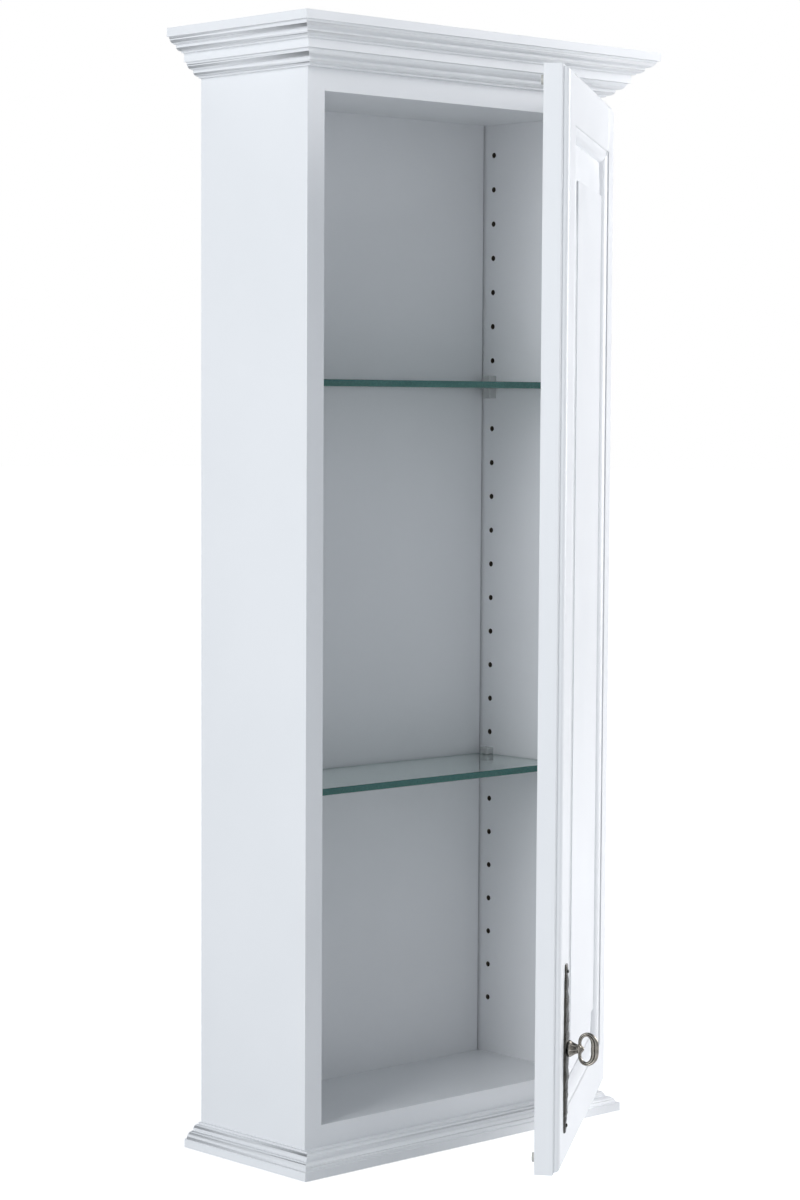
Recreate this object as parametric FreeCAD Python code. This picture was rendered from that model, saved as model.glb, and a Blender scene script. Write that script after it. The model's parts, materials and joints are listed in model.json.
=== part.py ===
import FreeCAD, Part
import math
import os

# Narrow wall cabinet for a pharmacy: a white box with two glass shelves, one raised-panel door hung on
# concealed cup hinges at the right, a stepped crown of two moulded courses and a base of one.
# Millimetres. +X right, +Y into the wall, +Z up; the origin is on the wall plane, centred, at the base.

V = FreeCAD.Vector
UP = V(0, 0, 1)

# ---- driving dimensions -------------------------------------------------------------------------
case_width = 354.0          # outside of one side to outside of the other
case_depth = 140.0          # wall to the front edges of the box
box_height = 919.0          # the box alone, without base and crown
board = 19.0                # sides, top and bottom of the box
course = 20.0               # one base or crown board with its moulding
back_thickness = 12.0
back_side_gap = 2.0         # the back panel hangs clear of both sides
front_ledge = 3.5           # base and crown boards stand this far in front of the box

moulding_reach = 19.0       # a moulding stands out this far from its board
fascia_height = 7.5
fascia_step = 2.5
ovolo_reach = 7.5
ovolo_height = 6.0
fillet_height = 2.0
bead_reach = 6.0
bead_height = 3.0
arc_bulge = 0.71            # how far a convex arc's middle goes to the corner of its own rectangle

door_thickness = 21.0
door_side_reveal = 2.0
door_bottom_reveal = 8.0
door_top_reveal = 9.0
door_gap = 3.5              # between the box and the back of the closed door
door_rest_angle = 37.0      # how far the door stands open in the stored pose
rail_flat = 45.0            # flat width of stiles and rails, outside the sticking
sticking = 10.0
sticking_drop = 8.0         # front face of the frame to the panel's tongue
sticking_step = 1.2
lip_round = 1.5             # the rounded outer arris
lip_ledge = 0.7
lip_step = 0.8
lip_quarter = 4.2           # the quarter round beside it
groove_depth = 8.0
tongue_thickness = 5.0
panel_bevel = 32.0
field_drop = 2.0            # raised field below the frame's front face
field_step = 1.5

pin_hole_radius = 2.5
pin_hole_depth = 10.0
pin_hole_pitch = 32.0
pin_hole_first = 53.0       # above the bottom panel
pin_hole_top_margin = 25.0
front_column = 37.0         # from the front edge of the side
rear_column = 24.0          # from the wall
lower_shelf_hole = 7
upper_shelf_from_top = 7

glass = 6.0
glass_side_gap = 1.5
glass_back_gap = 2.5
glass_setback = 18.0        # glass behind the front of the box
clip_ledge = 5.3            # underside of the glass above the hole's centre
clip_reach = 8.5
clip_width = 10.0
clip_below = 3.5
clip_lip = 6.0
clip_slot_gap = 0.3
clip_corner = 1.2

dowel_radius = 4.0
dowel_length = 30.0
dowel_in_side = 12.0
dowel_inset = 32.0          # from the front and back edges of the panel

cup_radius = 17.5
cup_wall = 1.0
cup_edge = 3.0              # door edge to the cup
cup_floor_gap = 0.4         # under the arm's eye
flange_thickness = 1.2
flange_height = 56.0
flange_reach = 15.0         # from the cup's middle, away from the door's edge
flange_edge_reach = 9.0
cup_screw_spacing = 45.0
cup_screw_offset = 9.5
cup_screw_radius = 1.75
cup_screw_head = 3.2
cup_screw_length = 12.0
pivot_offset = 12.0         # from the cup's middle towards the door's edge
pivot_depth = 10.0          # below the back of the door
hinge_pin_radius = 1.5
hinge_pin_half = 12.0
pin_running_gap = 0.05
eye_radius = 2.6
arm_thickness = 3.0
arm_height = 10.0
arm_reach = 19.0            # pivot to the middle of the arm's long limb
mount_plate = 2.0
mount_plate_width = 18.0
mount_plate_height = 48.0
mount_screw_setback = 19.0  # from the front edge of the side
mount_screw_spacing = 32.0
mount_screw_radius = 1.75
mount_screw_length = 12.0
riser_height = 12.0
riser_front = 10.0          # from the front edge of the side
riser_back = 28.0
mount_screw_head = 4.0
mount_screw_head_height = 1.4
arm_screw_radius = 2.0
arm_screw_length = 6.0
arm_screw_head = 3.6
arm_screw_inset = 9.0       # from the back end of the arm
lower_hinge_row = 0         # a hinge sits midway between this pin hole and the next one up
upper_hinge_row_from_top = 2

magnet_radius = 4.0
magnet_length = 5.0
magnet_cover = 3.0          # wooden plug over the magnet
magnet_height = 90.0        # above the door's bottom edge
strike_radius = 6.0
strike_thickness = 1.5
bumper_radius = 4.0
bumper_thickness = 3.1
bumper_inset = 12.0

plate_length = 141.0
plate_width = 18.0
plate_thickness = 3.5
plate_from_edge = 30.0      # free edge of the door to the plate's centre line
plate_centre = 100.0        # above the door's bottom edge
plate_end_width = 7.0
plate_notch = 0.9
plate_notches = 9
plate_pin_radius = 0.8
plate_pin_head = 1.6
plate_pin_length = 9.0
plate_pin_inset = 6.0

collar_radius = 7.5
collar_height = 3.0
shank_radius = 3.0
shank_end = 13.5            # stand-out of the shank above the door
bow_near = 11.2
bow_far = 28.3
bow_half_height = 14.0
bow_bar = 2.6
bow_rim = 6.4
bow_thickness = 4.4
bow_cusp = 15.5
pull_screw_radius = 2.0
pull_screw_head = 4.0
pull_screw_head_height = 2.2
pull_screw_grip = 6.0

wood_screw_radius = 2.0
wood_screw_head = 4.0
wood_screw_head_height = 2.4
wood_screw_length = 32.0
screw_end_inset = 45.0
keyhole_spacing = 240.0
keyhole_from_top = 60.0
keyhole_plate_width = 22.0
keyhole_plate_height = 38.0
keyhole_plate_thickness = 1.5
keyhole_pocket_depth = 6.0
keyhole_entry_radius = 4.5
keyhole_slot_radius = 2.3
keyhole_slot_rise = 10.0
plate_screw_spacing = 28.0
plate_screw_radius = 1.2
plate_screw_length = 5.0
plate_screw_head = 2.2
plate_screw_head_height = 0.8

# ---- worked-out positions -----------------------------------------------------------------------
half = case_width / 2
inner_half = half - board
front = -case_depth
box_bottom = course
box_top = box_bottom + box_height
floor_top = box_bottom + board
ceiling = box_top - board
back_front = -back_thickness

door_back = front - door_gap
door_front = door_back - door_thickness
door_half = half - door_side_reveal
door_low = box_bottom + door_bottom_reveal
door_high = box_top - door_top_reveal
door_height = door_high - door_low
door_middle = (door_low + door_high) / 2
frame_width = rail_flat + sticking

cup_x = door_half - cup_edge - cup_radius
cup_depth = pivot_depth + eye_radius + cup_floor_gap + cup_wall
pivot = V(cup_x + pivot_offset, door_back - pivot_depth, 0)
arm_x = pivot.x - arm_reach

hole_first = floor_top + pin_hole_first
hole_count = 1 + int((ceiling - pin_hole_top_margin - hole_first) // pin_hole_pitch)
hole_rows = [hole_first + row * pin_hole_pitch for row in range(hole_count)]
hole_columns = (front + front_column, -rear_column)

pull_x = -door_half + plate_from_edge
pull_z = door_low + plate_centre
hinge_rows = {"lower": lower_hinge_row, "upper": hole_count - 1 - upper_hinge_row_from_top}
hinge_middles = {name: hole_rows[row] + pin_hole_pitch / 2 for name, row in hinge_rows.items()}

nodes = {}


# ---- shapes used by several pieces --------------------------------------------------------------
def box(x0, x1, y0, y1, z0, z1):
    low = V(min(x0, x1), min(y0, y1), min(z0, z1))
    return Part.makeBox(abs(x1 - x0), abs(y1 - y0), abs(z1 - z0), low)


def rod(radius, length, start, direction):
    return Part.makeCylinder(radius, length, start, direction)


def flush_screw(radius, head_radius, length, mouth, direction, head_height=None):
    """A countersunk screw whose head is flush at mouth and whose point goes along direction."""
    depth = head_height or head_radius - radius
    head = Part.makeCone(head_radius, radius, depth, mouth, direction)
    return head.fuse(rod(radius, length, mouth, direction)).removeSplitter()


def curve_edges(curve, place):
    """Edges along a curve of points; an entry of two points is an arc through the first to the second."""
    edges = []
    last = place(*curve[0])
    for step in curve[1:]:
        if isinstance(step[0], tuple):
            middle, end = place(*step[0]), place(*step[1])
            edges.append(Part.Arc(last, middle, end).toShape())
        else:
            end = place(*step)
            edges.append(Part.makeLine(last, end))
        last = end
    return edges, last


def bulge(start, end, corner):
    """Arc entry from start to end that swells towards corner."""
    chord = ((start[0] + end[0]) / 2, (start[1] + end[1]) / 2)
    middle = tuple(c + (k - c) * (2 * arc_bulge - 1) for c, k in zip(chord, corner))
    return (middle, end)


def closed_face(curve, place):
    edges, last = curve_edges(curve, place)
    edges.append(Part.makeLine(last, place(*curve[0])))
    return Part.Face(Part.Wire(edges))


def two_sided_face(half_size, curve, place):
    """Section whose two opposite edges both follow curve, given as (inset from the edge, depth)."""
    right, right_end = curve_edges(curve, lambda inset, depth: place(half_size - inset, depth))
    left, left_end = curve_edges(curve, lambda inset, depth: place(inset - half_size, depth))
    start_right = place(half_size - curve[0][0], curve[0][1])
    start_left = place(curve[0][0] - half_size, curve[0][1])
    top = Part.makeLine(right_end, left_end)
    bottom = Part.makeLine(start_left, start_right)
    return Part.Face(Part.Wire(right + [top] + list(reversed(left)) + [bottom]))


def profiled_block(half_width, half_height, curve):
    """Door-plane block with the same moulded edge all round and mitred corners."""
    across = two_sided_face(half_width, curve, lambda x, d: V(x, door_back - d, door_low - 1))
    upright = across.extrude(V(0, 0, door_height + 2))
    along = two_sided_face(half_height, curve, lambda z, d: V(-half - 1, door_back - d, door_middle + z))
    level = along.extrude(V(case_width + 2, 0, 0))
    return upright.common(level)


# ---- box ----------------------------------------------------------------------------------------
def dowel_places(z_middle):
    return [(hand, y, z_middle) for hand in (-1, 1)
            for y in (front + dowel_inset, back_front - dowel_inset)]


def dowels(z_middle):
    length = V(1, 0, 0)
    return [rod(dowel_radius, dowel_length, V(start, y, z), length)
            for hand, y, z in dowel_places(z_middle)
            for start in [hand * (inner_half + dowel_in_side - dowel_length / 2) - dowel_length / 2]]


def magnet_seat():
    return V(-half + board / 2, front, door_low + magnet_height)


def side(hand):
    x_inner = hand * inner_half
    panel = box(x_inner, hand * half, front, 0, box_bottom, box_top)
    into = V(hand, 0, 0)
    holes = [rod(pin_hole_radius, pin_hole_depth, V(x_inner, y, z), into)
             for y in hole_columns for z in hole_rows]
    panel = panel.cut(Part.makeCompound(holes))
    for z in (box_bottom + board / 2, box_top - board / 2):
        panel = panel.cut(Part.makeCompound(dowels(z)))
    if hand > 0:
        return panel.cut([screw for middle in hinge_middles.values() for screw in mount_screws(middle)])
    return panel.cut(rod(magnet_radius, magnet_length + magnet_cover, magnet_seat(), V(0, 1, 0)))


def back_screws():
    xs = (-inner_half + screw_end_inset, 0, inner_half - screw_end_inset)
    return [flush_screw(wood_screw_radius, wood_screw_head, wood_screw_length, V(x, 0, z), V(0, -1, 0),
                        wood_screw_head_height)
            for x in xs for z in (box_bottom + board / 2, box_top - board / 2)]


def course_screws(z, direction):
    """Four screws that hold a base or crown board to the box; z is the heads' face."""
    return [flush_screw(wood_screw_radius, wood_screw_head, wood_screw_length, V(x, y, z),
                        V(0, 0, direction), wood_screw_head_height)
            for x in (-inner_half + 2 * screw_end_inset, inner_half - 2 * screw_end_inset)
            for y in (front + screw_end_inset, back_front - screw_end_inset)]


def make_box():
    nodes["left_side"] = side(-1)
    nodes["right_side"] = side(1)
    levels = {"bottom_panel": (box_bottom, box_bottom, 1), "top_panel": (ceiling, box_top, -1)}
    base_fixings = course_screws(0, 1)
    crown_fixings = course_screws(box_top + course, -1)
    drilled = Part.makeCompound(back_screws() + base_fixings + crown_fixings)
    for name, (z, edge, hand) in levels.items():
        panel = box(-inner_half, inner_half, front, back_front, z, z + board)
        joints = dowels(edge + hand * board / 2)
        nodes[name] = panel.cut(Part.makeCompound(joints)).cut(drilled)
        nodes[name.replace("panel", "dowels")] = Part.makeCompound(joints)
    nodes["back_panel"] = back_panel()
    nodes["back_screws"] = Part.makeCompound(back_screws())
    nodes["base_screws"] = Part.makeCompound(base_fixings)
    nodes["crown_screws"] = Part.makeCompound(crown_fixings)


# ---- hanging plates let into the back -----------------------------------------------------------
def keyhole_centres():
    z = box_top - keyhole_from_top
    return [V(-keyhole_spacing / 2, 0, z), V(keyhole_spacing / 2, 0, z)]


def plate_screws(centre):
    return [flush_screw(plate_screw_radius, plate_screw_head, plate_screw_length,
                        centre + V(0, 0, dz), V(0, -1, 0), plate_screw_head_height)
            for dz in (-plate_screw_spacing / 2, plate_screw_spacing / 2)]


def keyhole(centre, depth):
    entry = centre + V(0, 0, -keyhole_slot_rise / 2)
    rest = centre + V(0, 0, keyhole_slot_rise / 2)
    hole = rod(keyhole_entry_radius, depth, entry, V(0, -1, 0))
    slot = box(centre.x - keyhole_slot_radius, centre.x + keyhole_slot_radius, 0, -depth, entry.z, rest.z)
    return hole.fuse([slot, rod(keyhole_slot_radius, depth, rest, V(0, -1, 0))])


def hanging_plate(centre):
    plate = box(centre.x - keyhole_plate_width / 2, centre.x + keyhole_plate_width / 2,
                0, -keyhole_plate_thickness,
                centre.z - keyhole_plate_height / 2, centre.z + keyhole_plate_height / 2)
    plate = plate.cut(keyhole(centre, keyhole_plate_thickness))
    return plate.cut(Part.makeCompound(plate_screws(centre)))


def back_panel():
    reach = inner_half - back_side_gap
    panel = box(-reach, reach, back_front, 0, box_bottom, box_top)
    for centre in keyhole_centres():
        seat = box(centre.x - keyhole_plate_width / 2, centre.x + keyhole_plate_width / 2,
                   0, -keyhole_plate_thickness,
                   centre.z - keyhole_plate_height / 2, centre.z + keyhole_plate_height / 2)
        room = keyhole_entry_radius + 1
        pocket = box(centre.x - room, centre.x + room, 0, -keyhole_pocket_depth,
                     centre.z - keyhole_slot_rise / 2 - room, centre.z + keyhole_slot_rise / 2 + room)
        panel = panel.cut([seat, pocket] + plate_screws(centre))
    return panel.cut(Part.makeCompound(back_screws()))


def make_hangers():
    nodes["hanging_plates"] = Part.makeCompound([hanging_plate(c) for c in keyhole_centres()])
    nodes["hanging_plate_screws"] = Part.makeCompound([s for c in keyhole_centres() for s in plate_screws(c)])


# ---- base and crown -----------------------------------------------------------------------------
def moulding_curve():
    """Crown moulding section as (reach from the board, height), from the board's foot to its top."""
    flat = moulding_reach - fascia_step - ovolo_reach - bead_reach
    foot = course - fascia_height - ovolo_height - fillet_height - bead_height
    bead_start = (flat, foot)
    bead_end = (flat + bead_reach, foot + bead_height)
    ovolo_start = (bead_end[0], bead_end[1] + fillet_height)
    ovolo_end = (ovolo_start[0] + ovolo_reach, ovolo_start[1] + ovolo_height)
    return [(0, 0), (flat, 0), bead_start,
            bulge(bead_start, bead_end, (bead_end[0], bead_start[1])),
            ovolo_start,
            bulge(ovolo_start, ovolo_end, (ovolo_end[0], ovolo_start[1])),
            (moulding_reach, ovolo_end[1]), (moulding_reach, course), (0, course)]


def course_pieces(name, z, board_half, board_front, flip, screws):
    """A board with mitred mouldings on its front and both ends; flip puts the fascia at the bottom."""
    height = (lambda h: z + course - h) if flip else (lambda h: z + h)
    curve = moulding_curve()
    side_out = board_half + moulding_reach
    front_out = board_front - moulding_reach
    nodes[name + "_board"] = box(-board_half, board_half, board_front, 0, z, z + course).cut(screws)

    face = closed_face(curve, lambda out, h: V(-side_out, board_front - out, height(h)))
    corners = [(-side_out, front_out), (side_out, front_out), (board_half, board_front),
               (-board_half, board_front)]
    nodes[name + "_moulding_front"] = mitred(face.extrude(V(2 * side_out, 0, 0)), corners, z)
    for side_name, hand in (("left", -1), ("right", 1)):
        face = closed_face(curve, lambda out, h: V(hand * (board_half + out), 0, height(h)))
        corners = [(hand * side_out, front_out), (hand * board_half, board_front),
                   (hand * board_half, 0), (hand * side_out, 0)]
        strip = face.extrude(V(0, front_out, 0))
        nodes[name + "_moulding_" + side_name] = mitred(strip, corners, z)


def mitred(strip, corners, z):
    points = [V(x, y, z) for x, y in corners]
    wedge = Part.Face(Part.makePolygon(points + points[:1])).extrude(V(0, 0, course))
    return strip.common(wedge)


def make_courses():
    board_front = front - front_ledge
    base_fixings = Part.makeCompound(course_screws(0, 1))
    crown_fixings = Part.makeCompound(course_screws(box_top + course, -1))
    course_pieces("base", 0, half, board_front, True, base_fixings)
    course_pieces("crown_lower", box_top, half, board_front, False, crown_fixings)
    course_pieces("crown_upper", box_top + course, half + moulding_reach, board_front - moulding_reach,
                  False, crown_fixings)


# ---- glass shelves and their clips --------------------------------------------------------------
def shelf_clip(hand, y, hole_z):
    """Clear moulded clip: a pin for the side's hole and a block with a slot that grips the glass."""
    wall = hand * inner_half
    tip = wall - hand * clip_reach
    low = hole_z - clip_below
    high = hole_z + clip_ledge + glass + clip_slot_gap + clip_lip
    block = box(wall, tip, y - clip_width / 2, y + clip_width / 2, low, high)
    tip_edges = [e for e in block.Edges if all(abs(v.X - tip) < 0.01 for v in e.Vertexes)]
    block = block.makeFillet(clip_corner, tip_edges)
    slot_low = hole_z + clip_ledge
    slot = box(wall - hand * glass_side_gap, tip - hand, y - clip_width, y + clip_width,
               slot_low, slot_low + glass + clip_slot_gap)
    pin = rod(pin_hole_radius, pin_hole_depth, V(wall, y, hole_z), V(hand, 0, 0))
    return block.cut(slot).fuse(pin).removeSplitter()


def make_shelves():
    for name, row in (("lower", lower_shelf_hole), ("upper", hole_count - 1 - upper_shelf_from_top)):
        hole_z = hole_rows[row]
        reach = inner_half - glass_side_gap
        plate = box(-reach, reach, front + glass_setback, back_front - glass_back_gap,
                    hole_z + clip_ledge, hole_z + clip_ledge + glass)
        nodes[name + "_shelf"] = plate
        clips = [shelf_clip(hand, y, hole_z) for hand in (-1, 1) for y in hole_columns]
        nodes[name + "_shelf_clips"] = Part.makeCompound(clips)


# ---- hinges -------------------------------------------------------------------------------------
def cup_screws(middle):
    x = cup_x - cup_screw_offset
    mouth = door_back + flange_thickness
    return [flush_screw(cup_screw_radius, cup_screw_head, cup_screw_length, V(x, mouth, z), V(0, -1, 0),
                        flange_thickness)
            for z in (middle - cup_screw_spacing / 2, middle + cup_screw_spacing / 2)]


def hinge_pin(middle, radius=hinge_pin_radius):
    return rod(radius, 2 * hinge_pin_half, V(pivot.x, pivot.y, middle - hinge_pin_half), UP)


def cup_well(middle, radius, depth):
    return rod(radius, depth, V(cup_x, door_back, middle), V(0, -1, 0))


def cup(middle):
    """Pressed cup with its flange; the arm turns on a pin across it."""
    flange = box(cup_x - flange_reach, cup_x + flange_edge_reach, door_back, door_back + flange_thickness,
                 middle - flange_height / 2, middle + flange_height / 2)
    collar = rod(cup_radius, flange_thickness, V(cup_x, door_back, middle), V(0, 1, 0))
    body = cup_well(middle, cup_radius, cup_depth).fuse([flange, collar])
    mouth = rod(cup_radius - cup_wall, cup_depth - cup_wall + flange_thickness,
                V(cup_x, door_back + flange_thickness, middle), V(0, -1, 0))
    return body.cut([mouth, hinge_pin(middle)] + cup_screws(middle)).removeSplitter()


def arm_screw(middle):
    y = front + riser_back - arm_screw_inset
    return flush_screw(arm_screw_radius, arm_screw_head, arm_screw_length,
                       V(arm_x - arm_thickness / 2, y, middle), V(1, 0, 0), arm_thickness / 2)


def arm(middle):
    """Cranked arm: an eye on the pin, a short limb inside the cup and a long limb into the case."""
    low, high = middle - arm_height / 2, middle + arm_height / 2
    left = arm_x - arm_thickness / 2
    eye = rod(eye_radius, arm_height, V(pivot.x, pivot.y, low), UP)
    short = box(left, pivot.x, pivot.y - arm_thickness / 2, pivot.y + arm_thickness / 2, low, high)
    long = box(left, left + arm_thickness, pivot.y - arm_thickness / 2, front + riser_back, low, high)
    hole = hinge_pin(middle, hinge_pin_radius + pin_running_gap)
    return eye.fuse([short, long]).removeSplitter().cut([hole, arm_screw(middle)])


def mount_screws(middle):
    """Two screws through the mounting plate into the side."""
    x = inner_half - mount_plate
    y = front + mount_screw_setback
    screws = []
    for z in (middle - mount_screw_spacing / 2, middle + mount_screw_spacing / 2):
        shank = rod(mount_screw_radius, mount_screw_length, V(x, y, z), V(1, 0, 0))
        head = rod(mount_screw_head, mount_screw_head_height, V(x, y, z), V(-1, 0, 0))
        screws.append(shank.fuse(head))
    return screws


def mount(middle):
    """Mounting plate on the side's inner face with the riser that carries the arm."""
    y = front + mount_screw_setback
    plate = box(inner_half - mount_plate, inner_half, y - mount_plate_width / 2, y + mount_plate_width / 2,
                middle - mount_plate_height / 2, middle + mount_plate_height / 2)
    riser = box(arm_x + arm_thickness / 2, inner_half, front + riser_front, front + riser_back,
                middle - riser_height / 2, middle + riser_height / 2)
    return plate.fuse(riser).removeSplitter().cut(mount_screws(middle) + [arm_screw(middle)])


def make_hinges():
    for name, middle in hinge_middles.items():
        nodes[name + "_hinge_arm"] = arm(middle)
        nodes[name + "_hinge_mount"] = mount(middle)
        door_nodes[name + "_hinge_cup"] = cup(middle)
        door_nodes[name + "_hinge_pin"] = hinge_pin(middle)
    middles = hinge_middles.values()
    nodes["hinge_mount_screws"] = Part.makeCompound([s for m in middles for s in mount_screws(m)])
    nodes["hinge_arm_screws"] = Part.makeCompound([arm_screw(m) for m in middles])
    door_nodes["hinge_cup_screws"] = Part.makeCompound([s for m in middles for s in cup_screws(m)])


def hinge_cuts():
    """What the hinges take out of the door's stile."""
    cuts = []
    for middle in hinge_middles.values():
        cuts += [cup_well(middle, cup_radius, cup_depth), hinge_pin(middle)] + cup_screws(middle)
    return cuts


# ---- magnet in the left side, and what it meets on the door -------------------------------------
def make_catch():
    seat = magnet_seat()
    nodes["catch_plug"] = rod(magnet_radius, magnet_cover, seat, V(0, 1, 0))
    nodes["catch_magnet"] = rod(magnet_radius, magnet_length, seat + V(0, magnet_cover, 0), V(0, 1, 0))
    door_nodes["strike_disc"] = strike()
    door_nodes["door_bumpers"] = Part.makeCompound([
        rod(bumper_radius, bumper_thickness, V(-door_half + bumper_inset, door_back, z), V(0, 1, 0))
        for z in (door_low + bumper_inset, door_high - bumper_inset)])


def strike():
    seat = magnet_seat()
    return rod(strike_radius, strike_thickness, V(seat.x, door_back, seat.z), V(0, -1, 0))


# ---- door frame and raised panel ----------------------------------------------------------------
def outer_curve():
    """Outer edge of the frame as (inset, depth from the back)."""
    ledge_depth = door_thickness - lip_quarter - lip_step
    ledge_end = lip_round + lip_ledge
    arris_start = (0, ledge_depth - lip_round)
    arris_end = (lip_round, ledge_depth)
    quarter_start = (ledge_end, ledge_depth + lip_step)
    quarter_end = (ledge_end + lip_quarter, door_thickness)
    return [(0, 0), arris_start, bulge(arris_start, arris_end, (0, ledge_depth)), (ledge_end, ledge_depth),
            quarter_start, bulge(quarter_start, quarter_end, (ledge_end, door_thickness))]


def sight_curve():
    """Opening of the frame with its sticking, as (inset from the door's edge, depth from the back)."""
    seat = door_thickness - sticking_drop
    curve_start = (frame_width, seat)
    curve_end = (rail_flat, door_thickness - sticking_step)
    return [(frame_width, -1), curve_start, bulge(curve_start, curve_end, (frame_width, curve_end[1])),
            (rail_flat, door_thickness + 1)]


def panel_curve():
    """Raised panel as (inset from the door's edge, depth from the back)."""
    edge = frame_width - groove_depth
    tongue_front = door_thickness - sticking_drop
    tongue_back = tongue_front - tongue_thickness
    field = door_thickness - field_drop
    bevel_end = frame_width + panel_bevel
    return [(edge, tongue_back), (edge, tongue_front), (frame_width, tongue_front),
            (bevel_end, field - field_step), (bevel_end, field)]


def groove_block():
    """The space that the panel's tongue and the rails' tenons take in the frame."""
    reach = door_half - frame_width + groove_depth
    tall = door_height / 2 - frame_width + groove_depth
    seat = door_back - door_thickness + sticking_drop
    return box(-reach, reach, seat, seat + tongue_thickness, door_middle - tall, door_middle + tall)


def make_door():
    envelope = profiled_block(door_half, door_height / 2, outer_curve())
    opening = profiled_block(door_half, door_height / 2, sight_curve())
    frame = envelope.cut(opening).cut(groove_block())
    pull_hole = rod(pull_screw_radius, door_thickness + 2, V(pull_x, door_back + 1, pull_z), V(0, -1, 0))
    frame = frame.cut([pull_hole, strike()] + hinge_cuts() + plate_pins())
    inner = door_half - frame_width
    deep = (door_back + 1, door_front - 1)
    stiles = {"door_lock_stile": (-door_half - 1, -inner), "door_hinge_stile": (inner, door_half + 1)}
    seat = door_back - door_thickness + sticking_drop
    rails = {"door_bottom_rail": (door_low, door_low + frame_width),
             "door_top_rail": (door_high - frame_width, door_high)}
    mortises = [tenon(hand * inner, hand * (inner + groove_depth), seat, z0, z1)
                for hand in (-1, 1) for z0, z1 in rails.values()]
    for name, (x0, x1) in stiles.items():
        piece = frame.common(box(x0, x1, *deep, door_low - 1, door_high + 1))
        door_nodes[name] = piece.cut(mortises)
    for name, (z0, z1) in rails.items():
        piece = frame.common(box(-inner, inner, *deep, z0, z1))
        tenons = [tenon(hand * inner, hand * (inner + groove_depth), seat, z0, z1) for hand in (-1, 1)]
        door_nodes[name] = piece.fuse(tenons).removeSplitter()
    door_nodes["door_panel"] = profiled_block(door_half, door_height / 2, panel_curve())


def tenon(x0, x1, seat, z0, z1):
    """Stub tenon of a rail, in line with the panel groove and held back from the door's outer edge."""
    return box(x0, x1, seat, seat + tongue_thickness, z0 + groove_depth, z1 - groove_depth)


# ---- escutcheon and key-shaped pull -------------------------------------------------------------
def plate_pins():
    places = [pull_z - plate_length / 2 + plate_pin_inset, pull_z + plate_length / 2 - plate_pin_inset]
    pins = []
    for z in places:
        mouth = V(pull_x, door_front - plate_thickness, z)
        shank = rod(plate_pin_radius, plate_pin_length, mouth, V(0, 1, 0))
        head = Part.makeSphere(plate_pin_head, mouth, V(0, -1, 0), 0, 90, 360)
        pins.append(shank.fuse(head))
    return pins


def escutcheon():
    """Long plate with tapering ends and hammered nicks along both edges."""
    outline = []
    steps = 2 * plate_notches
    for i in range(steps + 1):
        t = i / steps
        taper = math.sin(math.pi * t) ** 0.5
        width = plate_end_width + (plate_width - plate_end_width) * taper
        nick = plate_notch if i % 2 else 0
        outline.append((width / 2 - nick, (t - 0.5) * plate_length))
    points = [V(pull_x + w, door_front, pull_z + z) for w, z in outline]
    points += [V(pull_x - w, door_front, pull_z + z) for w, z in reversed(outline)]
    plate = Part.Face(Part.makePolygon(points + points[:1])).extrude(V(0, -plate_thickness, 0))
    hole = rod(pull_screw_radius, plate_thickness + 2, V(pull_x, door_front + 1, pull_z), V(0, -1, 0))
    return plate.cut([hole] + plate_pins())


def bow_face(near, far, half_height, cusp):
    """Kidney outline in the upright plane square to the door, with its dent on the shank's side."""
    def place(out, z):
        return V(pull_x - bow_thickness / 2, door_front - out, pull_z + z)
    middle = (near + far) / 2
    points = [(cusp, 0), (near, half_height * 0.42), (middle - 1, half_height), (far - 1.5, half_height * 0.6),
              (far, 0), (far - 1.5, -half_height * 0.6), (middle - 1, -half_height),
              (near, -half_height * 0.42)]
    curve = Part.BSplineCurve()
    curve.interpolate([place(*p) for p in points + points[:1]])
    return Part.Face(Part.Wire([curve.toShape()]))


def key_pull():
    out = V(0, -1, 0)
    foot = V(pull_x, door_front - plate_thickness, pull_z)
    collar = Part.makeCone(collar_radius, shank_radius + 1, collar_height * 2, foot, out)
    shank = rod(shank_radius, shank_end - plate_thickness, foot, out)
    ring = bow_face(bow_near, bow_far, bow_half_height, bow_near + 1).extrude(V(bow_thickness, 0, 0))
    hole = bow_face(bow_near + bow_bar, bow_far - bow_rim, bow_half_height - bow_bar, bow_cusp + 1)
    hole = hole.extrude(V(bow_thickness, 0, 0))
    tip = Part.makeCone(shank_radius, 0.6, bow_cusp - shank_end + 1, foot + out * (shank_end - plate_thickness),
                        out)
    body = collar.fuse([shank, ring]).cut(hole).fuse(tip)
    thread = rod(pull_screw_radius, pull_screw_grip, foot, out)
    return body.cut(thread).removeSplitter()


def pull_screw():
    length = door_thickness + plate_thickness + pull_screw_grip
    shank = rod(pull_screw_radius, length, V(pull_x, door_back, pull_z), V(0, -1, 0))
    head = rod(pull_screw_head, pull_screw_head_height, V(pull_x, door_back, pull_z), V(0, 1, 0))
    return shank.fuse(head)


def make_pull():
    door_nodes["escutcheon_plate"] = escutcheon()
    door_nodes["escutcheon_pins"] = Part.makeCompound(plate_pins())
    door_nodes["key_pull"] = key_pull()
    door_nodes["pull_screw"] = pull_screw()


# ---- everything ---------------------------------------------------------------------------------
door_nodes = {}
make_box()
make_hangers()
make_courses()
make_shelves()
make_hinges()
make_catch()
make_door()
make_pull()

for name, shape in door_nodes.items():
    shape.rotate(pivot, UP, door_rest_angle)
    nodes[name] = shape

os.makedirs("parts", exist_ok=True)
for name, shape in nodes.items():
    shape.exportStep("parts/" + name + ".step")
print(len(nodes), "nodes")
print("pivot", [round(c, 3) for c in pivot], "pull", round(pull_x, 2), round(pull_z, 2))
for name, shape in nodes.items():
    print(name, len(shape.Solids), round(shape.Volume / 1000, 2), shape.isValid())
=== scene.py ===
import json
import math

import bpy
from mathutils import Matrix, Vector, noise


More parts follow.
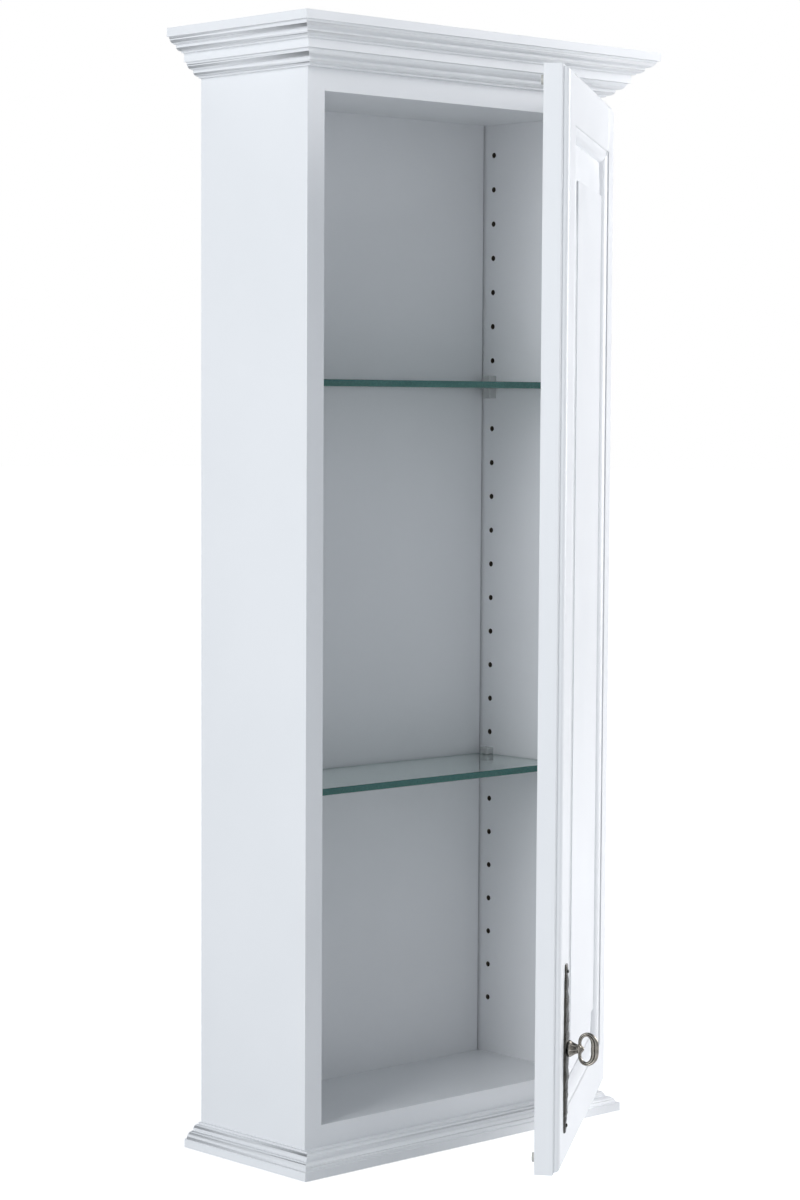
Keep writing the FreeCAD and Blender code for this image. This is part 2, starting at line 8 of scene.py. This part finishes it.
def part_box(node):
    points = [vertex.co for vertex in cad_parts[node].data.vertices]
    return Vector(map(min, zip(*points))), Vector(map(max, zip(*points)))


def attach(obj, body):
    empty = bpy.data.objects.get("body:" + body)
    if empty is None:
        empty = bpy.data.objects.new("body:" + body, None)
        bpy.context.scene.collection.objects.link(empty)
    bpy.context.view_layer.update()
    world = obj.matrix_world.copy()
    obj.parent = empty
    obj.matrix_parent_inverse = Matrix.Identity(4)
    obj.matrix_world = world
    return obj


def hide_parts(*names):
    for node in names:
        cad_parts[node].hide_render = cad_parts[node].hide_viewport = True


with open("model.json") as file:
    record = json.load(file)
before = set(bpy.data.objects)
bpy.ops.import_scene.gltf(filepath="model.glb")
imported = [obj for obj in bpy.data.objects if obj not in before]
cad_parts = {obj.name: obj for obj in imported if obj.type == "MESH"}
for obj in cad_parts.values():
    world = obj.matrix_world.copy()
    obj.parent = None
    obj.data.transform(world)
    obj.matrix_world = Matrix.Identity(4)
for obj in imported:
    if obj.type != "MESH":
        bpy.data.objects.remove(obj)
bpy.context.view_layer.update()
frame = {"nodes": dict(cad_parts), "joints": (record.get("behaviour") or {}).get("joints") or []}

nodes = frame["nodes"]

# ---- camera ----------------------------------------------------------------------------------------
# The cabinet is seen from its front left, with the eye at two thirds of its height, through a long lens.
EYE = Vector((-1.8441, -2.0377, 0.6547))
AZIMUTH = math.radians(43.10)
DIP = math.radians(4.46)
ROLL = math.radians(0.30)

bpy.ops.object.select_all(action="DESELECT")
bpy.ops.object.camera_add(location=EYE)
camera = bpy.context.object
camera.name = "view_camera"
camera.data.lens = 89.8
camera.data.sensor_width = 36
camera.data.shift_y = 0.0349
ahead = Vector((math.sin(AZIMUTH) * math.cos(DIP), math.cos(AZIMUTH) * math.cos(DIP), -math.sin(DIP)))
camera.rotation_euler = ahead.to_track_quat("-Z", "Y").to_euler()
camera.rotation_euler.rotate_axis("Z", ROLL)
camera.data.clip_end = 100
bpy.context.scene.camera = camera


# ---- studio ----------------------------------------------------------------------------------------
# A white painted floor in a white room: a soft window far to the left, a strong soft light far to the
# right for the open door, a weak one in front, and a cool room light that fills the shadows. Room and
# floor look whiter to the eye than the light they give.
def linear(hex_colour):
    """Linear colour of an sRGB hex value."""
    parts = [int(hex_colour[i:i + 2], 16) / 255 for i in (0, 2, 4)]
    return tuple(c / 12.92 if c <= 0.04045 else ((c + 0.055) / 1.055) ** 2.4 for c in parts) + (1.0,)


def add_node(tree, kind, settings=(), links=()):
    """Adds a node; settings are (socket or property, value), links are (socket, node, output)."""
    node = tree.nodes.new(kind)
    for name, value in settings:
        if name in node.inputs:
            node.inputs[name].default_value = value
        else:
            setattr(node, name, value)
    for socket, source, output in links:
        tree.links.new(source.outputs[output], node.inputs[socket])
    return node


def new_material(name):
    """An empty material with its Principled shader and object coordinates in metres."""
    material = bpy.data.materials.new(name)
    material.use_nodes = True
    tree = material.node_tree
    shader = tree.nodes["Principled BSDF"]
    place = add_node(tree, "ShaderNodeTexCoord")
    return material, tree, shader, place


def per_mm(size):
    """Texture scale whose features are about size millimetres."""
    return 1000 / size


scene = bpy.context.scene
scene.view_settings.view_transform = "Standard"
ROOM_LIGHT = 0.3
world = bpy.data.worlds.new("white_room")
world.use_nodes = True
room = world.node_tree
room.nodes["Background"].inputs["Color"].default_value = linear("EAF2FC")
room.nodes["Background"].inputs["Strength"].default_value = ROOM_LIGHT
sight = add_node(room, "ShaderNodeLightPath")
backdrop = add_node(room, "ShaderNodeBackground", [("Color", (1.0, 1.0, 1.0, 1.0)), ("Strength", 1.0)])
seen = add_node(room, "ShaderNodeMixShader", [], [("Fac", sight, "Is Camera Ray")])
room.links.new(room.nodes["Background"].outputs["Background"], seen.inputs[1])
room.links.new(backdrop.outputs["Background"], seen.inputs[2])
room.links.new(seen.outputs["Shader"], room.nodes["World Output"].inputs["Surface"])
scene.world = world

FLOOR_RADIUS = 30
FLOOR_BELOW = 0.0005
bpy.ops.mesh.primitive_circle_add(vertices=96, radius=FLOOR_RADIUS, fill_type="NGON",
                                  location=(0, 0, -FLOOR_BELOW))
studio_floor = bpy.context.object
studio_floor.name = "studio_floor"
bpy.ops.object.transform_apply(location=True, rotation=True, scale=True)
floor_paint, tree, shader, place = new_material("matt_white_floor_paint")
mottle = add_node(tree, "ShaderNodeTexNoise", [("Scale", per_mm(400)), ("Detail", 3.0)],
                  [("Vector", place, "Object")])
tone = add_node(tree, "ShaderNodeMix", [("data_type", "RGBA")], [("Factor", mottle, "Fac")])
tone.inputs[6].default_value = linear("F3F4F5")
tone.inputs[7].default_value = linear("F7F7F7")
tree.links.new(tone.outputs[2], shader.inputs["Base Color"])
shader.inputs["Roughness"].default_value = 0.8
away = add_node(tree, "ShaderNodeVectorMath", [("operation", "LENGTH")], [("Vector", place, "Object")])
glow = add_node(tree, "ShaderNodeMapRange", [("interpolation_type", "SMOOTHSTEP"), ("From Min", 0.3),
                                             ("From Max", 2.2), ("To Min", 0.6), ("To Max", 0.85)],
                [("Value", away, "Value")])
eye_only = add_node(tree, "ShaderNodeLightPath")
lift = add_node(tree, "ShaderNodeMath", [("operation", "MULTIPLY")], [("Value", glow, "Result")])
tree.links.new(eye_only.outputs["Is Camera Ray"], lift.inputs[1])
shader.inputs["Emission Color"].default_value = (1.0, 1.0, 1.0, 1.0)
tree.links.new(lift.outputs["Value"], shader.inputs["Emission Strength"])
studio_floor.data.materials.append(floor_paint)


def soft_light(name, where, aim, size, power, colour):
    bpy.ops.object.light_add(type="AREA", location=where)
    lamp = bpy.context.object
    lamp.name = name
    lamp.data.shape = "RECTANGLE"
    lamp.data.size, lamp.data.size_y = size
    lamp.data.energy = power
    lamp.data.color = linear(colour)[:3]
    lamp.rotation_euler = (Vector(aim) - Vector(where)).to_track_quat("-Z", "Y").to_euler()


soft_light("left_window", (-3.1, -0.6, 1.6), (0, -0.1, 0.5), (1.6, 2.4), 64, "FBFDFF")
soft_light("front_bounce", (0.6, -3.4, 1.6), (0, -0.1, 0.5), (2.0, 2.0), 12, "FCFDFF")
soft_light("right_bounce", (3.0, -1.4, 1.4), (0, -0.2, 0.5), (1.6, 2.0), 90, "FFFEFF")


# ---- painted case, mouldings and door ---------------------------------------------------------------
# Medium-density fibreboard and mitred softwood mouldings, glued and screwed, filled, sanded at the arrises
# and sprayed with white satin lacquer, which leaves a very fine orange peel and soft, rounded edges.
def satin_lacquer():
    material, tree, shader, place = new_material("sprayed_white_satin_lacquer")
    drift = add_node(tree, "ShaderNodeTexNoise", [("Scale", per_mm(160)), ("Detail", 2.0)],
                     [("Vector", place, "Object")])
    tone = add_node(tree, "ShaderNodeMix", [("data_type", "RGBA")], [("Factor", drift, "Fac")])
    tone.inputs[6].default_value = linear("E9EBED")
    tone.inputs[7].default_value = linear("F1F2F4")
    tree.links.new(tone.outputs[2], shader.inputs["Base Color"])
    cloud = add_node(tree, "ShaderNodeTexNoise", [("Scale", per_mm(45)), ("Detail", 4.0)],
                     [("Vector", place, "Object")])
    sheen = add_node(tree, "ShaderNodeMapRange", [("To Min", 0.30), ("To Max", 0.44)],
                     [("Value", cloud, "Fac")])
    tree.links.new(sheen.outputs["Result"], shader.inputs["Roughness"])
    peel = add_node(tree, "ShaderNodeTexNoise", [("Scale", per_mm(2.2)), ("Detail", 1.5)],
                    [("Vector", place, "Object")])
    relief = add_node(tree, "ShaderNodeBump", [("Strength", 0.12), ("Distance", 0.0002)],
                      [("Height", peel, "Fac")])
    tree.links.new(relief.outputs["Normal"], shader.inputs["Normal"])
    shader.inputs["IOR"].default_value = 1.5
    return material


lacquer = satin_lacquer()
ARRIS = 0.0004
ARRIS_OVER = math.radians(50)
SMOOTH_UNDER = math.radians(32)
MERGE_UNDER = 0.00002
DISSOLVE_UNDER = math.radians(0.4)
HOLE_MARGIN = 0.0008

# Bare fibreboard for the walls of the drilled holes. Its tan is darkened far below bare board's colour,
# which is painted shade in the holes.
bare_board_and_painted_hole_shade, tree, shader, place = new_material("bare_fibreboard_drilled")
fibre = add_node(tree, "ShaderNodeTexNoise", [("Scale", per_mm(0.8)), ("Detail", 4.0)],
                 [("Vector", place, "Object")])
bare_tone_and_painted_shade = add_node(tree, "ShaderNodeMix", [("data_type", "RGBA")], [("Factor", fibre, "Fac")])
bare_tone_and_painted_shade.inputs[6].default_value = linear("3E352B")
bare_tone_and_painted_shade.inputs[7].default_value = linear("5C5042")
tree.links.new(bare_tone_and_painted_shade.outputs[2], shader.inputs["Base Color"])
shader.inputs["Roughness"].default_value = 0.85


def show_bare_holes_with_painted_shade(board):
    """Gives the walls and floors of drilled holes the bare board, since they are drilled after spraying,
    darkened well below the board's own colour as painted shade deep in the holes.
    """
    board.data.materials.append(bare_board_and_painted_hole_shade)
    corners = [Vector(c) for c in board.bound_box]
    low, high = corners[0], corners[6]
    for face in board.data.polygons:
        if all(low[i] + HOLE_MARGIN < face.center[i] < high[i] - HOLE_MARGIN for i in range(3)):
            face.material_index = 1


def painted(name, body, arris):
    """A lacquered copy of a board: its arrises rounded over, its moulded curves smooth."""
    board = bpy.data.objects.new(name + "_lacquered", nodes[name].data.copy())
    bpy.context.collection.objects.link(board)
    bpy.ops.object.select_all(action="DESELECT")
    board.select_set(True)
    bpy.context.view_layer.objects.active = board
    bpy.ops.object.mode_set(mode="EDIT")
    bpy.ops.mesh.select_all(action="SELECT")
    bpy.ops.mesh.remove_doubles(threshold=MERGE_UNDER)
    bpy.ops.mesh.dissolve_limited(angle_limit=DISSOLVE_UNDER)
    bpy.ops.object.mode_set(mode="OBJECT")
    if arris:
        rounding = board.modifiers.new("arris", "BEVEL")
        rounding.width = arris
        rounding.segments = 2
        rounding.limit_method = "ANGLE"
        rounding.angle_limit = ARRIS_OVER
        bpy.ops.object.modifier_apply(modifier="arris")
    bpy.ops.object.shade_smooth_by_angle(angle=SMOOTH_UNDER)
    flat_faces = board.modifiers.new("flat_faces", "WEIGHTED_NORMAL")
    flat_faces.keep_sharp = True
    bpy.ops.object.modifier_apply(modifier="flat_faces")
    board.data.materials.clear()
    board.data.materials.append(lacquer)
    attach(board, body)
    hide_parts(name)
    return board


for name in ("left_side", "right_side", "top_panel", "bottom_panel", "back_panel",
             "base_board", "crown_lower_board", "crown_upper_board"):
    board = painted(name, "cabinet", ARRIS)
    if name.endswith("side"):
        show_bare_holes_with_painted_shade(board)
for course in ("base", "crown_lower", "crown_upper"):
    for run in ("front", "left", "right"):
        painted(course + "_moulding_" + run, "cabinet", 0)
for name in ("door_lock_stile", "door_hinge_stile", "door_top_rail", "door_bottom_rail", "door_panel"):
    painted(name, "door", 0)


def dress(name, material):
    """Gives a CAD node its finish."""
    obj = nodes[name]
    if not obj.material_slots:
        obj.data.materials.append(material)
    for slot in obj.material_slots:
        slot.material = material


dress("catch_plug", lacquer)


# ---- dowels ----------------------------------------------------------------------------------------
# Turned beech pegs glued across the corner joints; plain wood with short darker flecks along the grain.
def turned_beech():
    material, tree, shader, place = new_material("turned_beech")
    stretch = add_node(tree, "ShaderNodeMapping", [("Scale", (0.15, 1.0, 1.0))],
                       [("Vector", place, "Object")])
    fleck = add_node(tree, "ShaderNodeTexNoise", [("Scale", per_mm(0.9)), ("Detail", 5.0)],
                     [("Vector", stretch, "Vector")])
    ramp = add_node(tree, "ShaderNodeValToRGB", [], [("Fac", fleck, "Fac")])
    ramp.color_ramp.elements[0].color = linear("A87C50")
    ramp.color_ramp.elements[1].color = linear("D9B487")
    tree.links.new(ramp.outputs["Color"], shader.inputs["Base Color"])
    shader.inputs["Roughness"].default_value = 0.6
    return material


beech = turned_beech()
dress("bottom_dowels", beech)
dress("top_dowels", beech)


# ---- glass shelves ---------------------------------------------------------------------------------
# Two sheets of 6 mm float glass, clear through the face and dark sea green in the ground edges, where the
# light has come the long way through the iron in the glass. The arrises are taken off on a wet belt.
def float_glass():
    material, tree, shader, place = new_material("float_glass_face")
    smear = add_node(tree, "ShaderNodeTexNoise", [("Scale", per_mm(60)), ("Detail", 3.0)],
                     [("Vector", place, "Object")])
    haze = add_node(tree, "ShaderNodeMapRange", [("To Min", 0.0), ("To Max", 0.035)],
                    [("Value", smear, "Fac")])
    tree.links.new(haze.outputs["Result"], shader.inputs["Roughness"])
    shader.inputs["Base Color"].default_value = linear("EAF6F3")
    shader.inputs["Transmission Weight"].default_value = 1.0
    shader.inputs["IOR"].default_value = 1.52
    return material


def ground_edge():
    material, tree, shader, place = new_material("ground_glass_edge")
    grit = add_node(tree, "ShaderNodeTexNoise", [("Scale", per_mm(1.2)), ("Detail", 4.0)],
                    [("Vector", place, "Object")])
    ramp = add_node(tree, "ShaderNodeValToRGB", [], [("Fac", grit, "Fac")])
    ramp.color_ramp.elements[0].color = linear("2C5A55")
    ramp.color_ramp.elements[1].color = linear("4F8982")
    tree.links.new(ramp.outputs["Color"], shader.inputs["Base Color"])
    shader.inputs["Roughness"].default_value = 0.22
    shader.inputs["Transmission Weight"].default_value = 0.25
    shader.inputs["IOR"].default_value = 1.52
    return material


glass_face = float_glass()
glass_edge = ground_edge()
GLASS_ARRIS = 0.0007

for shelf_name in ("lower_shelf", "upper_shelf"):
    low, high = (Vector(c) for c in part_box(shelf_name))
    bpy.ops.object.select_all(action="DESELECT")
    bpy.ops.mesh.primitive_cube_add(size=1, location=(low + high) / 2, scale=high - low)
    sheet = bpy.context.object
    sheet.name = shelf_name + "_glass"
    bpy.ops.object.transform_apply(location=True, rotation=True, scale=True)
    bpy.ops.object.mode_set(mode="EDIT")
    bpy.ops.mesh.select_all(action="SELECT")
    bpy.ops.mesh.bevel(offset=GLASS_ARRIS, segments=1, affect="EDGES")
    bpy.ops.object.mode_set(mode="OBJECT")
    sheet.data.materials.append(glass_face)
    sheet.data.materials.append(glass_edge)
    for face in sheet.data.polygons:
        face.material_index = 0 if abs(face.normal.z) > 0.99 else 1
    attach(sheet, "cabinet")
    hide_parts(shelf_name)


# ---- shelf clips -----------------------------------------------------------------------------------
# Injection-moulded clear polycarbonate: a peg in the side's hole and a slotted block that grips the glass.
def clear_polycarbonate():
    material, tree, shader, place = new_material("clear_polycarbonate")
    flow = add_node(tree, "ShaderNodeTexNoise", [("Scale", per_mm(5)), ("Detail", 2.0)],
                    [("Vector", place, "Object")])
    relief = add_node(tree, "ShaderNodeBump", [("Strength", 0.2), ("Distance", 0.0003)],
                      [("Height", flow, "Fac")])
    tree.links.new(relief.outputs["Normal"], shader.inputs["Normal"])
    shader.inputs["Base Color"].default_value = linear("F2F5F5")
    shader.inputs["Roughness"].default_value = 0.18
    shader.inputs["Transmission Weight"].default_value = 0.4
    shader.inputs["IOR"].default_value = 1.585
    return material


polycarbonate = clear_polycarbonate()
dress("lower_shelf_clips", polycarbonate)
dress("upper_shelf_clips", polycarbonate)


# ---- hinges, screws and hanging plates --------------------------------------------------------------
# Concealed hinges of pressed steel, nickel-plated, each with a cup let into the door and a cranked arm on a
# plate in the case; zinc-plated screws and keyhole plates. The plating shows faint rolling lines.
def plated_steel(name, dark, bright, roughness):
    material, tree, shader, place = new_material(name)
    stretch = add_node(tree, "ShaderNodeMapping", [("Scale", (1.0, 1.0, 0.05))],
                       [("Vector", place, "Object")])
    lines = add_node(tree, "ShaderNodeTexNoise", [("Scale", per_mm(0.6)), ("Detail", 3.0)],
                     [("Vector", stretch, "Vector")])
    ramp = add_node(tree, "ShaderNodeValToRGB", [], [("Fac", lines, "Fac")])
    ramp.color_ramp.elements[0].color = linear(dark)
    ramp.color_ramp.elements[1].color = linear(bright)
    tree.links.new(ramp.outputs["Color"], shader.inputs["Base Color"])
    shine = add_node(tree, "ShaderNodeMapRange", [("To Min", roughness), ("To Max", roughness + 0.14)],
                     [("Value", lines, "Fac")])
    tree.links.new(shine.outputs["Result"], shader.inputs["Roughness"])
    shader.inputs["Metallic"].default_value = 1.0
    return material


nickel = plated_steel("nickel_plated_steel", "B5AEA2", "D8D2C6", 0.22)
zinc = plated_steel("zinc_plated_steel", "A9B0B6", "CDD2D6", 0.32)
for hinge in ("lower_hinge", "upper_hinge"):
    for piece in ("_arm", "_mount", "_cup", "_pin"):
        dress(hinge + piece, nickel)
for name in ("hinge_mount_screws", "hinge_arm_screws", "hinge_cup_screws", "catch_magnet"):
    dress(name, nickel)
for name in ("back_screws", "base_screws", "crown_screws", "hanging_plates", "hanging_plate_screws",
             "strike_disc", "pull_screw"):
    dress(name, zinc)


# ---- bumpers ---------------------------------------------------------------------------------------
# Self-adhesive buttons of clear polyurethane on the back of the door; soft, glossy and a little cloudy.
def clear_polyurethane():
    material, tree, shader, place = new_material("clear_polyurethane")
    cloud = add_node(tree, "ShaderNodeTexNoise", [("Scale", per_mm(3)), ("Detail", 2.0)],
                     [("Vector", place, "Object")])
    haze = add_node(tree, "ShaderNodeMapRange", [("To Min", 0.12), ("To Max", 0.3)],
                    [("Value", cloud, "Fac")])
    tree.links.new(haze.outputs["Result"], shader.inputs["Roughness"])
    shader.inputs["Base Color"].default_value = linear("E9E9E2")
    shader.inputs["Transmission Weight"].default_value = 0.6
    shader.inputs["IOR"].default_value = 1.5
    return material


polyurethane = clear_polyurethane()
dress("door_bumpers", polyurethane)


# ---- escutcheon plate ------------------------------------------------------------------------------
# A long strip of forged-look zinc casting, plated with antique pewter: nicked along both edges, dented by
# the hammer on its face, dark in the hollows and rubbed bright on what stands proud.
hinge = frame["joints"][0]
PIVOT = Vector(hinge["pos_m"])
DOOR_OPEN = -math.radians(hinge["range_deg"][0])
turn_open = Matrix.Translation(PIVOT) @ Matrix.Rotation(DOOR_OPEN, 4, "Z") @ Matrix.Translation(-PIVOT)
CAST_SMOOTH_UNDER = math.radians(50)


def closed_box(name):
    """Lowest and highest corner of a door node as it stands when the door is shut."""
    points = [turn_open.inverted() @ v.co for v in nodes[name].data.vertices]
    return (Vector([min(p[i] for p in points) for i in range(3)]),
            Vector([max(p[i] for p in points) for i in range(3)]))


def antique_pewter(name, hollow, rubbed_bright):
    material, tree, shader, place = new_material(name)
    ridge = add_node(tree, "ShaderNodeNewGeometry")
    patina = add_node(tree, "ShaderNodeTexNoise", [("Scale", per_mm(3.5)), ("Detail", 5.0)],
                      [("Vector", place, "Object")])
    rubbed = add_node(tree, "ShaderNodeMapRange", [("From Min", 0.47), ("From Max", 0.55), ("To Min", 0.0),
                                                   ("To Max", 0.75)], [("Value", ridge, "Pointiness")])
    mixed = add_node(tree, "ShaderNodeMath", [("operation", "MULTIPLY_ADD")], [("Value", patina, "Fac")])
    mixed.inputs[1].default_value = 0.45
    tree.links.new(rubbed.outputs["Result"], mixed.inputs[2])
    ramp = add_node(tree, "ShaderNodeValToRGB", [], [("Fac", mixed, "Value")])
    ramp.color_ramp.elements[0].position = 0.2
    ramp.color_ramp.elements[0].color = linear(hollow)
    ramp.color_ramp.elements[1].position = 0.85
    ramp.color_ramp.elements[1].color = linear(rubbed_bright)
    tree.links.new(ramp.outputs["Color"], shader.inputs["Base Color"])
    wear = add_node(tree, "ShaderNodeMapRange", [("To Min", 0.36), ("To Max", 0.2)],
                    [("Value", mixed, "Value")])
    tree.links.new(wear.outputs["Result"], shader.inputs["Roughness"])
    pits = add_node(tree, "ShaderNodeTexNoise", [("Scale", per_mm(1.1)), ("Detail", 3.0)],
                    [("Vector", place, "Object")])
    relief = add_node(tree, "ShaderNodeBump", [("Strength", 0.25), ("Distance", 0.0003)],
                      [("Height", pits, "Fac")])
    tree.links.new(relief.outputs["Normal"], shader.inputs["Normal"])
    shader.inputs["Metallic"].default_value = 1.0
    return material


blackened_pewter = antique_pewter("antique_pewter_blackened", "0C0C0C", "4E4C48")
pewter = antique_pewter("antique_pewter_rubbed", "161412", "B5AFA5")


def finish_on_door(piece, node_name, material):
    """Swings a piece that was modelled on the shut door to where the door stands, and hands it over."""
    piece.data.transform(turn_open)
    bpy.ops.object.shade_smooth_by_angle(angle=CAST_SMOOTH_UNDER)
    piece.data.materials.append(material)
    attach(piece, "door")
    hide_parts(node_name)


ACROSS, ALONG = 16, 150
END_WIDTH = 0.42            # share of the middle's width left at the ends
END_RISE = 0.5              # share of the middle's thickness left at the ends
WAVE_DEPTH = 0.16
NICKS = 9
NICK_DEPTH = 0.0009
DENT = 0.0005
DENTS_PER_METRE = (260, 190)
WANDER = 31
EDGE_FALL = 0.25

low, high = closed_box("escutcheon_plate")
middle = (low + high) / 2
size = high - low
bpy.ops.object.select_all(action="DESELECT")
bpy.ops.mesh.primitive_grid_add(x_subdivisions=ACROSS, y_subdivisions=ALONG, size=1)
plate = bpy.context.object
plate.name = "escutcheon_forged"
bpy.ops.object.mode_set(mode="EDIT")
bpy.ops.mesh.select_all(action="SELECT")
bpy.ops.mesh.extrude_region_move()
bpy.ops.object.mode_set(mode="OBJECT")
for vertex in plate.data.vertices:
    across, along = vertex.co.x * 2, vertex.co.y
    taper = math.cos(math.pi * along) ** 0.5 if abs(along) < 0.5 else 0
    width = size.x / 2 * (END_WIDTH + (1 - END_WIDTH) * taper)
    wander = 2 * noise.noise(Vector((along * WANDER, 0, 0)))
    wave = 0.5 + 0.5 * math.cos(2 * math.pi * NICKS * along + wander)
    x = middle.x + across * (width - NICK_DEPTH * wave)
    z = middle.z + along * size.z
    dented = 0.5 + noise.noise(Vector((x * DENTS_PER_METRE[0], 0, z * DENTS_PER_METRE[1])))
    proud = (END_RISE + (1 - END_RISE) * taper) * (1 - WAVE_DEPTH * wave - EDGE_FALL * abs(across) ** 4)
    face = high.y - size.y * proud + DENT * dented
    vertex.co = (x, face if vertex.select else high.y, z)
bpy.ops.object.mode_set(mode="EDIT")
bpy.ops.mesh.select_all(action="SELECT")
bpy.ops.mesh.normals_make_consistent(inside=False)
bpy.ops.object.mode_set(mode="OBJECT")
finish_on_door(plate, "escutcheon_plate", blackened_pewter)


# ---- escutcheon pins -------------------------------------------------------------------------------
# Two short nails of the same blackened metal, one near each end of the plate, with flattened round heads
# hammered down onto its face.
PIN_INSET = 0.006
PIN_HEAD = 0.0016
PIN_FLATTENED = 0.5
PIN_SEAT = 0.62             # height of a head's middle, as a share of the plate's thickness
heads = []
for end in (-1, 1):
    bpy.ops.object.select_all(action="DESELECT")
    bpy.ops.mesh.primitive_uv_sphere_add(segments=24, ring_count=12, radius=PIN_HEAD)
    head = bpy.context.object
    head.data.transform(Matrix.Diagonal((1, PIN_FLATTENED, 1, 1)))
    seat = Vector((middle.x, high.y - size.y * PIN_SEAT, middle.z + end * (size.z / 2 - PIN_INSET)))
    head.data.transform(Matrix.Translation(seat))
    heads.append(head)
bpy.ops.object.select_all(action="DESELECT")
for head in heads:
    head.select_set(True)
bpy.context.view_layer.objects.active = heads[0]
bpy.ops.object.join()
heads[0].name = "escutcheon_nail_heads"
finish_on_door(heads[0], "escutcheon_pins", blackened_pewter)


# ---- key-shaped pull -------------------------------------------------------------------------------
# A zinc casting in the shape of a key's bow: a fluted bell foot screwed through the stile, and a kidney
# ring whose thick outer rim thins towards the dent at the shank. Plated and rubbed like the plate.
low, high = closed_box("key_pull")
face_y = closed_box("escutcheon_plate")[1].y
axis_x, axis_z = (low.x + high.x) / 2, (low.z + high.z) / 2
MM = 0.001

# (stand-out from the door, radius) along the foot
FOOT = [(3.5, 6.9), (4.2, 7.2), (5.0, 6.9), (6.4, 6.0), (8.0, 5.0), (9.6, 4.2), (10.8, 3.9), (11.8, 4.2),
        (12.8, 3.5), (14.2, 2.2), (15.4, 1.1), (16.2, 0.2)]
# (stand-out, height, radial half width, half thickness) round the upper half of the bow
BOW = [(15.2, 0.4, 1.2, 1.5), (12.9, 3.0, 1.3, 1.5), (12.6, 6.4, 1.4, 1.6), (14.3, 10.4, 1.6, 1.8),
       (18.0, 12.3, 1.7, 2.0), (21.6, 11.0, 2.2, 2.1), (24.2, 7.6, 2.9, 2.2), (25.0, 3.6, 3.2, 2.2),
       (25.0, 0.0, 3.3, 2.2)]
GROOVE = 0.32               # depth of the groove round the bow, as a share of its half thickness
GROOVE_HALF = 0.2
TANGENT_STEP = 0.05
TUBE_MERGE = 0.00001


def blended(rows, position):
    """Catmull-Rom value at a position counted in rows."""
    i = min(int(position), len(rows) - 2)
    f = position - i
    before, here, after, beyond = (rows[max(0, min(len(rows) - 1, i + k))] for k in (-1, 0, 1, 2))
    return [0.5 * (2 * b + (c - a) * f + (2 * a - 5 * b + 4 * c - d) * f * f
                   + (3 * b - a - 3 * c + d) * f ** 3) for a, b, c, d in zip(before, here, after, beyond)]


def wrapped_grid(name, around, along):
    """A flat grid to be wrapped into a tube; x runs round it and y along it, both from 0 to 1."""
    bpy.ops.object.select_all(action="DESELECT")
    bpy.ops.mesh.primitive_grid_add(x_subdivisions=around, y_subdivisions=along, size=1,
                                    location=(0.5, 0.5, 0))
    tube = bpy.context.object
    tube.name = name
    bpy.ops.object.transform_apply(location=True, rotation=True, scale=True)
    return tube


def close_tube():
    """Sews a wrapped grid along its seam and caps its ends."""
    bpy.ops.object.mode_set(mode="EDIT")
    bpy.ops.mesh.select_all(action="SELECT")
    bpy.ops.mesh.remove_doubles(threshold=TUBE_MERGE)
    bpy.ops.mesh.select_non_manifold()
    bpy.ops.mesh.fill_holes(sides=0)
    bpy.ops.mesh.select_all(action="SELECT")
    bpy.ops.mesh.normals_make_consistent(inside=False)
    bpy.ops.object.mode_set(mode="OBJECT")


FLUTES = 8
FLUTE_DEPTH = 0.2
FLUTE_RUN = 8               # length of the fluted part
foot = wrapped_grid("pull_foot", 64, 44)
for vertex in foot.data.vertices:
    angle = 2 * math.pi * vertex.co.x
    out, radius = blended(FOOT, vertex.co.y * (len(FOOT) - 1))
    fade = max(0.0, math.sin(math.pi * min(1.0, (out - FOOT[0][0]) / FLUTE_RUN)))
    radius *= 1 - FLUTE_DEPTH * fade * abs(math.sin(FLUTES / 2 * angle)) ** 0.6
    vertex.co = (axis_x + radius * MM * math.cos(angle),
                 face_y - out * MM,
                 axis_z + radius * MM * math.sin(angle))
close_tube()

lower_half = [(out, -height, wide, thick) for out, height, wide, thick in reversed(BOW[:-1])]
ring_rows = BOW + lower_half
ring = wrapped_grid("pull_bow", 48, 140)
for vertex in ring.data.vertices:
    angle = 2 * math.pi * vertex.co.x
    position = vertex.co.y * (len(ring_rows) - 1)
    out, height, wide, thick = blended(ring_rows, position)
    last = len(ring_rows) - 1
    ahead_out, ahead_height = blended(ring_rows, min(position + TANGENT_STEP, last))[:2]
    back_out, back_height = blended(ring_rows, max(position - TANGENT_STEP, 0))[:2]
    along = Vector((ahead_out - back_out, ahead_height - back_height)).normalized()
    radial = wide * math.cos(angle)
    crest = 1 - GROOVE * math.exp(-(math.cos(angle) / GROOVE_HALF) ** 2)
    vertex.co = (axis_x + thick * crest * MM * math.sin(angle),
                 face_y - (out + along.y * radial) * MM,
                 axis_z + (height - along.x * radial) * MM)
close_tube()

bpy.ops.object.select_all(action="DESELECT")
ring.select_set(True)
foot.select_set(True)
bpy.context.view_layer.objects.active = foot
bpy.ops.object.join()
foot.name = "key_shaped_pull"
finish_on_door(foot, "key_pull", pewter)
